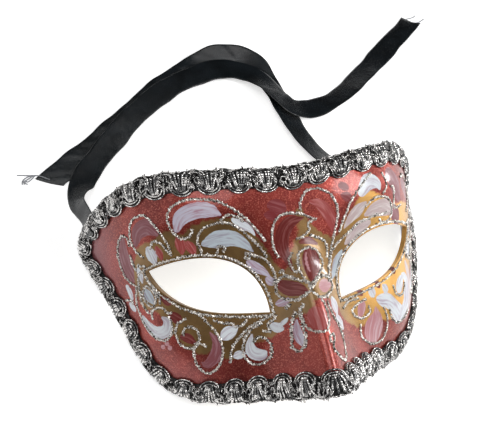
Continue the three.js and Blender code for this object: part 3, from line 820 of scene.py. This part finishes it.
# Threads that have come loose from the cut ends, as places on the table
LEFT_THREADS = [
    [(124, 151, 0.5), (129, 152.3, 0.5), (133, 153.2, 0.3), (137, 155, 0.3)],
    [(126, 156, 0.5), (130, 156.6, 0.5), (132.5, 158, 0.3)],
]
RIGHT_THREADS = [
    [(-88, 83, 0.6), (-92.5, 85.8, 0.6), (-96.5, 86.6, 0.5), (-102, 87.6, 0.5)],
    [(-94, 86.5, 0.5), (-96.3, 85.4, 0.6), (-98.4, 84.2, 0.5), (-99.6, 82.4, 0.4)],
    [(-95, 86.6, 0.5), (-98, 85.7, 0.7), (-100, 84.2, 0.5), (-100.4, 82.4, 0.4)],
    [(-94, 86.3, 0.5), (-96, 84.4, 0.5), (-97.6, 83.4, 0.6), (-99, 83.8, 0.4)],
    [(-95, 86.5, 0.6), (-97, 84.9, 0.7), (-99.8, 83.5, 0.6), (-98, 82.2, 0.4)],
]
THREAD_RADIUS = 0.3
THREAD_SIDES = 5
THREAD_CURVE_STEP = 0.4
THREAD_STEP = 0.5


def thread_piece(name, threads, material):
    sweeps = []
    for thread in threads:
        line = even_line(smooth_line(thread, THREAD_CURVE_STEP), THREAD_STEP)
        heading = unit(np.gradient(line, axis=0))
        sideways = unit(np.cross(heading, [0, 0, 1]))
        upward = np.cross(sideways, heading)
        rings = []
        for angle in np.arange(THREAD_SIDES) * 2 * math.pi / THREAD_SIDES:
            rings.append(line + THREAD_RADIUS * (sideways * math.cos(angle) + upward * math.sin(angle)))
        sweeps.append(np.stack(rings, 1))
    piece = sweeps_mesh(name, sweeps, material)
    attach(piece, "root")
    return piece


# Shell

# Distance at which a point counts as clear of all paint, and the search margin and least width of a stroke
CLEAR_OF_PAINT = 6.0
STROKE_MARGIN = 3
STROKE_LEAST = 0.3
STROKE_STEP = 0.2
# Noise scale along a stroke, across it and from one stroke to the next
STROKE_NOISE = (0.12, 1.1, 3.7)
OCHRE_STEP = 1.5
OCHRE_LIMIT = 8
# Tints of the ground: where each starts, over how many millimetres it grows, and its strength
# The pale tints of the left temple and lower left cheek, on the left side only, are painted reflection
TEMPLE_PAINTED_REFLECTION = (78, 18, 0.85)
CHEEK_PAINTED_REFLECTION = (20, 30, 0.25)
CHEEK_PAINTED_REFLECTION_DOWN = (18, 25)
# The ochre grows lighter and yellower towards the right side and fades again near its edge: painted highlight
OCHRE_HIGHLIGHT_SIDE = (15, 25)
OCHRE_HIGHLIGHT_FADE = (56, 12, 0.55)


def inside(points, ring):
    x, y = points.T
    result = np.zeros(len(points), bool)
    for a, b in zip(ring, np.roll(ring, -1, axis=0)):
        crosses = (a[1] > y) != (b[1] > y)
        rise = b[1] - a[1] if b[1] != a[1] else TINY
        result ^= crosses & (x < (b[0] - a[0]) * (y - a[1]) / rise + a[0])
    return result


def ring_distance(points, ring):
    nearest = np.full(len(points), np.inf)
    for a, b in zip(ring, np.roll(ring, -1, axis=0)):
        side = b - a
        share = np.clip((points - a) @ side / max(side @ side, TINY ** 2), 0, 1)
        gap = np.linalg.norm(points - a - share[:, None] * side, axis=1)
        nearest = np.minimum(nearest, gap)
    return nearest


def ring_area(ring):
    after = np.roll(ring, -1, axis=0)
    return float((ring[:, 0] * after[:, 1] - ring[:, 1] * after[:, 0]).sum()) / 2


def in_sheet(points, rings):
    # Whether each point is inside the first ring and outside the others
    keep = inside(points, rings[0])
    for hole in rings[1:]:
        keep &= ~inside(points, hole)
    return keep


def sheet_grid(rings, cell):
    # The corners of a triangle grid over the sheet, clear of its rings
    low = rings[0].min(0)
    high = rings[0].max(0)
    rows = np.arange(low[1], high[1], cell * CELL_ROW)
    across, up = np.meshgrid(np.arange(low[0], high[0], cell), rows, indexing="ij")
    across = across + (np.arange(len(rows)) % 2)[None] * cell / 2
    grid = np.stack([across.ravel(), up.ravel()], -1)
    grid = grid[in_sheet(grid, rings)]
    for ring in rings:
        grid = grid[ring_distance(grid, ring) >= cell * CELL_GAP]
    return grid


def sheet_mesh(rings, cell):
    # Triangles that fill the first ring, apart from the others, with their ring points first
    edges = []
    start = 0
    for ring in rings:
        count = len(ring)
        edges += [(start + i, start + (i + 1) % count) for i in range(count)]
        start += count
    corners = [Vector(p) for p in np.concatenate([*rings, sheet_grid(rings, cell)])]
    result = geometry.delaunay_2d_cdt(corners, edges, [], 0, 1e-6, False)
    points = np.array([tuple(p) for p in result[0]])
    faces = np.array([f for f in result[2] if len(f) == 3])
    faces = faces[in_sheet(points[faces].mean(1), rings)]
    a, b, c = (points[faces[:, k]] for k in range(3))
    area = (b - a)[:, 0] * (c - a)[:, 1] - (b - a)[:, 1] * (c - a)[:, 0]
    faces[area < 0] = faces[area < 0][:, ::-1]
    return points, faces


def rim_faces(rings, back_start):
    # Quads from the front's ring points to the back's, which face away from the wall
    faces = []
    start = 0
    for ring in rings:
        size = len(ring)
        order = 1 if (ring is rings[0]) == (ring_area(ring) < 0) else -1
        for i in range(size):
            here = start + i
            after = start + (i + 1) % size
            faces.append([here, after, back_start + after, back_start + here][::order])
        start += size
    return faces


def stroke_field(points, spine):
    # Which points are near one stroke, how far from its edge, and where along and across it
    line = smooth_line(spine, STROKE_STEP)
    centre = line[:, :2]
    radius = np.maximum(line[:, 2], STROKE_LEAST) / 2
    margin = STROKE_MARGIN + radius.max()
    near = np.all((points > centre.min(0) - margin) & (points < centre.max(0) + margin), axis=1)
    index = np.flatnonzero(near)
    gaps = points[index][:, None] - centre[None]
    distance = np.linalg.norm(gaps, axis=2) - radius[None]
    best = distance.argmin(1)
    rows = np.arange(len(index))
    gap = gaps[rows, best]
    heading = unit(np.gradient(centre, axis=0))[best]
    sideways = heading[:, 0] * gap[:, 1] - heading[:, 1] * gap[:, 0]
    return index, distance[rows, best], run_along(centre)[best], sideways


def petal_fields(points):
    # Distance to the nearest painted stroke, with its paint and the place along and across it.
    # A stroke covers the ones before it.
    edge = np.full(len(points), CLEAR_OF_PAINT)
    paint = np.zeros((len(points), 4))
    streak = np.zeros((len(points), 4))
    stroke = np.zeros((len(points), 3))
    for number, (name, spine) in enumerate(PETALS):
        index, value, along, sideways = stroke_field(points, spine)
        place = np.stack([along, sideways, np.full(len(along), number)], -1) * STROKE_NOISE
        wins = (value < edge[index]) | (value < 0)
        index = index[wins]
        edge[index] = np.minimum(value[wins], edge[index])
        paint[index], streak[index] = (screen_colour(colour) for colour in PAINTS[name])
        stroke[index] = place[wins]
    return edge, paint, streak, stroke


def ramp(values, start, length, strength=1.0):
    return np.clip((values - start) / length, 0, 1) * strength


def add_face_fields(piece, flat):
    edge, paint, streak, stroke = petal_fields(flat)
    ochre_ring = smooth_line(OCHRE_EDGE + OCHRE_EDGE[:1], OCHRE_STEP)
    ochre = np.where(inside(flat, ochre_ring), -1, 1) * ring_distance(flat, ochre_ring)
    across, up = flat.T
    # The "pale" share is painted reflection on the left temple and lower left cheek
    pale = np.maximum(
        ramp(-across, *TEMPLE_PAINTED_REFLECTION), ramp(-up, *CHEEK_PAINTED_REFLECTION_DOWN) * ramp(-across, *CHEEK_PAINTED_REFLECTION),
    )
    add_attribute(piece, "edge", edge)
    add_attribute(piece, "paint", paint)
    add_attribute(piece, "streak", streak)
    add_attribute(piece, "stroke", stroke)
    add_attribute(piece, "ochre", np.clip(ochre, -OCHRE_LIMIT, OCHRE_LIMIT))
    add_attribute(piece, "pale", pale)
    # Painted highlight on the ochre of the right side
    add_attribute(piece, "ochre_highlight", ramp(across, *OCHRE_HIGHLIGHT_SIDE) * (1 - ramp(across, *OCHRE_HIGHLIGHT_FADE)))


def shell_piece():
    rings = [round_ring(mirror_ring(OUTLINE), RIM_STEPS)[::-1], eye_ring(1), eye_ring(-1)]
    front, front_faces = sheet_mesh(rings, SHELL_CELL)
    back, back_faces = sheet_mesh(rings, BACK_CELL)
    flat = np.concatenate([front, back])
    faces = front_faces.tolist() + (back_faces[:, ::-1] + len(front)).tolist()
    slots = np.repeat([0, 1], [len(front_faces), len(back_faces)])
    rim = rim_faces(rings, len(front))
    points = mask_point(*flat.T, np.repeat([0, -WALL], [len(front), len(back)]))
    piece = add_mesh("shell_papier_mache", points, faces + rim, paint_material())
    piece.data.materials.append(paper_material())
    piece.data.polygons.foreach_set("material_index", np.concatenate([slots, np.zeros(len(rim), int)]))
    piece.data.set_sharp_from_angle(angle=SHARP_EDGE)
    add_face_fields(piece, flat)
    return piece


# Glitter lines

LINE_WIDTH = 1.08
LINE_RISE = 0.5
LINE_STEP = 0.36
LINE_CURVE_STEP = 0.3
# Places round a line's section in degrees. The last is its foot, under the surface.
LINE_ANGLES = (0, 40, 90, 140, 180, 270)
LINE_FOOT = -0.25
LINE_CLEARANCE = 0.02
# Ranges of the width and rise, and of each place's wobble, and how far the line strays sideways
WIDTH_RANGE = (0.6, 1.3)
RISE_RANGE = (0.6, 1.25)
WOBBLE_RANGE = (0.75, 1.2)
LINE_STRAY = 0.17
# How far outside an eye hole's edge its bead runs
EYE_BEAD_GAP = 1.3


def grown_ring(ring, distance):
    heading = unit(np.roll(ring, -1, axis=0) - np.roll(ring, 1, axis=0))
    side = np.stack([heading[:, 1], -heading[:, 0]], -1) * np.sign(ring_area(ring))
    return closed(ring + side * distance)


def glitter_rings(track):
    line = even_line(track, LINE_STEP)
    heading = unit(np.gradient(line, axis=0))
    side = np.stack([-heading[:, 1], heading[:, 0]], -1)
    count = len(line)
    width = LINE_WIDTH / 2 * RANDOM.uniform(*WIDTH_RANGE, count)
    rise = LINE_RISE * RANDOM.uniform(*RISE_RANGE, count)
    line = line + side * RANDOM.normal(0, LINE_STRAY, count)[:, None]
    rings = []
    for degrees in LINE_ANGLES:
        angle = math.radians(degrees)
        wobble = RANDOM.uniform(*WOBBLE_RANGE, count)
        flat = line + side * (math.cos(angle) * width * wobble)[:, None]
        out = math.sin(angle) * rise * wobble if degrees <= 180 else LINE_FOOT
        rings.append(mask_point(*flat.T, out + LINE_CLEARANCE))
    return np.stack(rings, 1)


def glitter_piece():
    tracks = [smooth_line(line, LINE_CURVE_STEP) for line in LINES]
    tracks += [grown_ring(eye_ring(side), EYE_BEAD_GAP) for side in (1, -1)]
    sweeps = [glitter_rings(track) for track in tracks]
    piece = sweeps_mesh("glitter_lines", sweeps, glitter_material(), smooth=False)
    add_attribute(piece, "grain", RANDOM.uniform(0, 1, len(piece.data.polygons)), "FACE")
    return piece


# Braid

# A place on the braid is a turn counted in loops, a share of its width from the rim, and a height out
BRAID_LOOPS = 46
BRAID_LOOP_LENGTH = 11
BRAID_WIDTH = 7.8
BRAID_STEPS = 32
BRAID_FLOOR = 0.02
# Top of the braid over the face by share: low at both edges and crowned between them
CROWN_SHARES = [-0.36, -0.1, 0.05, 0.6, 1.04]
CROWN_HEIGHTS = [0.5, 1.5, 2.0, 1.9, 0.55]
# Section of the band under the cords, as (share, out)
CORE_SECTION = [
    (1.0, 0.1), (0.98, 0.3), (0.86, 0.7), (0.7, 1.1), (0.5, 1.3), (0.3, 1.4), (0.12, 1.35),
    (-0.03, 1.1), (-0.13, 0.7), (-0.17, 0.2), (-0.22, -0.5), (-0.2, -1.3), (-0.05, -1.4), (-0.05, 0.3),
]
CORE_PER_LOOP = 14
CORE_SCALLOP = 0.16
CORE_SCALLOP_FROM = 0.8
CORE_LUMP = 0.3
CORE_ROUGH = 0.18
CORE_YARN = 0.8
CORD_STEP = 0.5
CORD_CURVE_STEP = 0.25
CORD_SIDES = 6
CORD_PITCH = 1.5
LOOP_ARCH = [
    (-0.7, 0.1), (-0.9, 0.35), (-1, 0.58), (-0.86, 0.8), (-0.48, 0.95), (0, 1.0),
    (0.48, 0.95), (0.86, 0.8), (1, 0.58), (0.9, 0.35), (0.7, 0.1),
]
# Half width in loops, farthest share of the braid's width, lift and radius of each cord round a loop
EDGE_ARCHES = [(0.4, 1.06, 0.0, 0.34), (0.325, 0.93, 0.25, 0.34)]
RIM_ARCHES = [(0.38, -0.27, -0.1, 0.36), (0.29, -0.14, 0.2, 0.36)]
EDGE_BASE = 0.1
RIM_BASE = 0.6
ARCH_LOBES = 0.04
# Places of the fan's cords, the strands and the curls in loops, heights of the runs at the rim, and the
# radius and lobes of each kind
FAN = (-0.24, -0.12, 0.0, 0.12, 0.24)
FAN_CORD = (0.43, 0.06)
STRANDS = (-0.24, -0.17, -0.1, -0.03, 0.04, 0.11, 0.18, 0.25)
STRAND_CORD = (0.29, 0.16)
CURLS = (-0.12, 0.1)
CURL_TURNS = (0, 1.2, 2.4, 3.6, 4.8, 6)
CURL_WIDE = 0.09
CURL_HIGH = 0.16
CURL_LIFT = 0.55
CURL_CORD = (0.3, 0.3)
RIM_RUNS = (0.6, -0.3, -1.1)
RUN_PLACES = (-0.5, -0.4, -0.3, -0.2, -0.1, 0, 0.1, 0.2, 0.3, 0.4, 0.52)
RUN_CORD = (0.4, 0.3)


def braid_tracks():
    outer = round_ring(mirror_ring(OUTLINE), BRAID_STEPS)
    inner = round_ring(mirror_ring(BRAID_INNER), BRAID_STEPS)
    run = run_along(closed(mask_point(*((outer + inner) / 2).T)))
    return run / run[-1] * BRAID_LOOPS, closed(outer), closed(inner)


TURNS, RIM_LINE, EDGE_LINE = braid_tracks()


def braid_flat(turn, share):
    turn = np.mod(turn, BRAID_LOOPS)
    rim, edge = (
        np.stack([np.interp(turn, TURNS, values) for values in line.T], -1) for line in (RIM_LINE, EDGE_LINE)
    )
    return rim + (edge - rim) * np.asarray(share)[..., None]


def braid_height(share):
    return np.interp(share, CROWN_SHARES, CROWN_HEIGHTS)


def braid_node(turn, share, lift):
    # A place of a cord at a height above the braid's top
    return turn, share, braid_height(share) + lift


def braid_core():
    count = BRAID_LOOPS * CORE_PER_LOOP
    turn = np.arange(count) / CORE_PER_LOOP
    scallop = 1 - CORE_SCALLOP * np.cos(math.pi * turn) ** 2
    size = len(CORE_SECTION)
    rings = []
    for k, (share, out) in enumerate(CORE_SECTION):
        place = share * scallop if share > CORE_SCALLOP_FROM else np.full(count, share)
        rough = RANDOM.uniform(-CORE_ROUGH, CORE_ROUGH, count)
        lump = CORE_LUMP * np.sin(turn * 2 * math.pi * 3 + k * 1.9) + rough
        # The places that lie on the face stay even
        if k in (0, size - 2, size - 1):
            lump = 0
        rings.append(mask_point(*braid_flat(turn, place).T, out + lump))
    points = above_table(np.stack(rings, 1), BRAID_FLOOR).reshape(-1, 3)
    faces = sweep_faces(count, size, is_closed=True)
    # The band under the cords is near black: painted shade in the gaps between them
    piece = add_mesh("braid_ground", points, faces, braid_material(*BRAID_SHADED_GROUND))
    add_attribute(piece, "along", np.tile(np.arange(size) * CORE_YARN, count))
    return piece


def braid_cord(nodes, radius, lobes):
    # One cord of the braid through (turn, share, out): rings of points and the place along it
    scale = np.array([BRAID_LOOP_LENGTH, BRAID_WIDTH, 1])
    turn, share, out = (smooth_line(nodes * scale, CORD_CURVE_STEP) / scale).T
    flat = braid_flat(turn, share)
    both = even_line(np.concatenate([mask_point(*flat.T, out), flat], 1), CORD_STEP)
    centre, flat = both[:, :3], both[:, 3:]
    heading = unit(np.gradient(centre, axis=0))
    sideways = unit(np.cross(heading, tilt(front_normal(*flat.T))))
    normal = np.cross(sideways, heading)
    along = np.arange(len(centre)) * CORD_STEP
    rings = []
    for angle in np.arange(CORD_SIDES) * 2 * math.pi / CORD_SIDES:
        swell = radius * (1 + lobes * np.cos(2 * (angle - along * 2 * math.pi / CORD_PITCH)))[:, None]
        rings.append(centre + sideways * (math.cos(angle) * swell) + normal * (math.sin(angle) * swell))
    return above_table(np.stack(rings, 1), BRAID_FLOOR), np.repeat(along, CORD_SIDES)


def arch_cord(centre, arch, base, grow):
    # One cord round a loop that reaches from the base share of the braid's width to its farthest
    half, top, lift, radius = arch
    nodes = []
    for x, t in LOOP_ARCH:
        share = base + (top - base) * t
        nodes.append(braid_node(centre + x * half * grow, share, lift))
    return nodes, radius, ARCH_LOBES


def loop_cords(centre):
    # Smooth cords round each loop at the inner edge, and the thick cords that meet inside it
    centre += RANDOM.uniform(-0.035, 0.035)
    grow = RANDOM.uniform(0.92, 1.06)
    cords = [arch_cord(centre, arch, EDGE_BASE, grow) for arch in EDGE_ARCHES]
    for x in FAN:
        lean = RANDOM.uniform(-0.02, 0.02)
        rise = RANDOM.uniform(0.4, 0.75)
        nodes = []
        for t in (0, 0.25, 0.6, 1):
            share = 0.84 - 0.9 * t
            lift = 0.1 + rise * math.sin(math.pi * (0.12 + 0.7 * t))
            nodes.append(braid_node(centre + lean + x * (0.42 + 0.8 * t), share, lift))
        cords.append((nodes, *FAN_CORD))
    return cords


def rim_cords(centre):
    # The matching loops at the rim, half way between those of the inner edge
    grow = RANDOM.uniform(0.88, 1.1)
    centre += RANDOM.uniform(-0.04, 0.04)
    return [arch_cord(centre, arch, RIM_BASE, grow) for arch in RIM_ARCHES]


def strand_cord(centre):
    # An upright strand of rough twisted yarn
    phase = RANDOM.uniform(0, 6)
    high = RANDOM.uniform(0.68, 0.84)
    low = RANDOM.uniform(-0.39, -0.04)
    nodes = []
    for t in (0, 0.25, 0.5, 0.75, 1):
        share = high - (high - low) * t
        sway = 0.035 * math.sin(7 * t + phase)
        lift = 0.1 + 0.3 * math.sin(9 * t + phase)
        nodes.append(braid_node(centre + sway, share, lift))
    return nodes, *STRAND_CORD


def curl_cord(centre):
    # A curl of yarn on top of the strands
    middle = RANDOM.uniform(0.2, 0.5)
    nodes = []
    for turn in CURL_TURNS:
        share = middle + CURL_HIGH * math.sin(turn)
        nodes.append(braid_node(centre + CURL_WIDE * math.cos(turn), share, CURL_LIFT))
    return nodes, *CURL_CORD


def run_cord(centre, out):
    # A wavy run of yarn at the rim's side
    phase = RANDOM.uniform(0, 6)
    nodes = []
    for x in RUN_PLACES:
        share = -0.19 - 0.04 * math.sin(x * 25 + phase)
        nodes.append((centre + x, share, out + 0.4 * math.sin(x * 29 + phase)))
    return nodes, *RUN_CORD


def filler_cords(centre):
    strands = [strand_cord(centre + x) for x in STRANDS]
    curls = [curl_cord(centre + x) for x in CURLS]
    return strands + curls + [run_cord(centre, out) for out in RIM_RUNS]


def cord_mesh(name, cords, material):
    sweeps, along = zip(*(braid_cord(*cord) for cord in cords))
    piece = sweeps_mesh(name, sweeps, material)
    add_attribute(piece, "along", np.concatenate(along))
    return piece


def braid_pieces():
    core = braid_core()
    loops = []
    fillers = []
    for i in range(BRAID_LOOPS):
        loops += loop_cords(i + 0.5) + rim_cords(i)
        fillers += filler_cords(i)
    bright = cord_mesh("braid_loops", loops, braid_material(*BRAID_BRIGHT))
    return core, bright, cord_mesh("braid_yarn", fillers, braid_material(*BRAID_DULL))


# Floor and light

FLOOR_HALF = 3000
FLOOR_DROP = 0.05
# Lowest and highest upward share of a direction, and the strength of the light from there
WORLD_FADE = (0.0, 0.15, 0.45, 0.03)
# Place in metres that the lights are turned to
LIGHT_TARGET = (0, 0.02, 0.04)
# Name, direction from the origin, distance and size in metres, and power in watts
LIGHTS = [
    ("front_softbox", (0.67, -0.23, 0.69), 0.9, 0.38, 4.6),
    ("overhead_softbox", (-0.25, 0.0, 0.97), 1.1, 0.7, 4.2),
    ("side_softbox", (0.97, 0.08, 0.16), 0.7, 0.1, 1.05),
    ("left_softbox", (-0.9, 0.05, 0.43), 0.8, 0.6, 0.8),
]


def add_floor():
    corners = [(x * FLOOR_HALF, y * FLOOR_HALF, -FLOOR_DROP) for x, y in ((-1, -1), (1, -1), (1, 1), (-1, 1))]
    floor = add_mesh("floor", corners, [(0, 1, 2, 3)], floor_material(), smooth=False)


def add_light(name, direction, distance, size, power):
    data = bpy.data.lights.new(name, "AREA")
    data.shape = "DISK"
    data.size = size
    data.energy = power
    light = add_object(name, data)
    light.location = Vector(direction).normalized() * distance
    light.rotation_euler = (Vector(LIGHT_TARGET) - light.location).to_track_quat("-Z", "Y").to_euler()


def add_world():
    # A pale horizon under a dark ceiling
    n = Nodes(bpy.data.worlds.new("studio"))
    direction = n.add("ShaderNodeTexCoord").outputs["Generated"]
    upward = n.add("ShaderNodeSeparateXYZ", {0: direction}).outputs["Z"]
    background = n.tree.nodes["Background"]
    n.put(background.inputs["Color"], WHITE)
    n.put(background.inputs["Strength"], n.between(upward, *WORLD_FADE, kind="LINEAR"))
    bpy.context.scene.world = n.owner


def add_ties():
    satin = satin_material()
    thread = thread_material()
    left_threads = thread_piece("ribbon_left_threads", LEFT_THREADS, thread)
    right_threads = thread_piece("ribbon_right_threads", RIGHT_THREADS, thread)
    add_tie(LEFT_TIE, satin)
    add_tie(RIGHT_TIE, satin)


def main():
    bpy.context.scene.view_settings.view_transform = "Standard"
    add_camera()
    add_ties()
    shell = shell_piece()
    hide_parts("shell")
    for piece in (shell, glitter_piece()):
        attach(piece, "root")
    core, *cords = braid_pieces()
    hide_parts("braid")
    for piece in (core, *cords):
        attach(piece, "root")
    add_floor()
    add_world()
    for light in LIGHTS:
        add_light(*light)


main()
